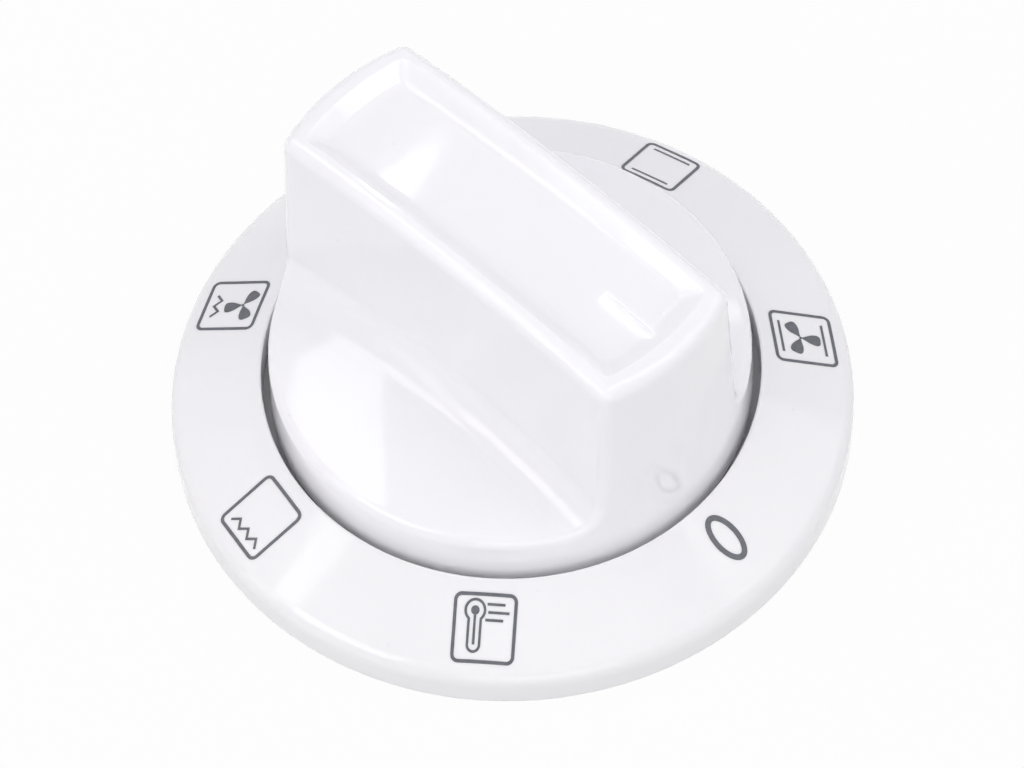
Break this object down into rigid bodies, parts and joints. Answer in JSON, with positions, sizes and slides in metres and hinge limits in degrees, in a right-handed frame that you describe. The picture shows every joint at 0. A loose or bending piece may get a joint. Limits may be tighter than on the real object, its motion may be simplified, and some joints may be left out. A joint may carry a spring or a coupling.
{
  "type": "oven control knob",
  "caption": "White round oven control knob: a tapered cap with a crowned, dished grip bar and a raised pointer turns inside a sloping dial ring.",
  "frame": {"origin": "on the shaft axis, in the plane of the dial's back", "axes": "+Z out of the oven panel along the shaft axis, +Y towards the pointer"},
  "size_m": [0.064, 0.064, 0.0323],
  "materials": {
    "cap_plastic": "smooth gloss",
    "core_plastic": "plain moulded",
    "spring_steel": "rolled strip",
    "dial_plastic": "smooth gloss"
  },
  "bodies": {
    "dial": {"dial_ring": "dial_plastic"},
    "knob": {"knob_cap": "cap_plastic", "hub_core": "core_plastic", "shaft_clip": "spring_steel"}
  },
  "joints": [
    {"name": "knob_turn", "type": "hinge", "parent": "dial", "child": "knob", "pos_m": [0, 0, 0], "axis": [0, 0, 1], "continuous": true}
  ]
}
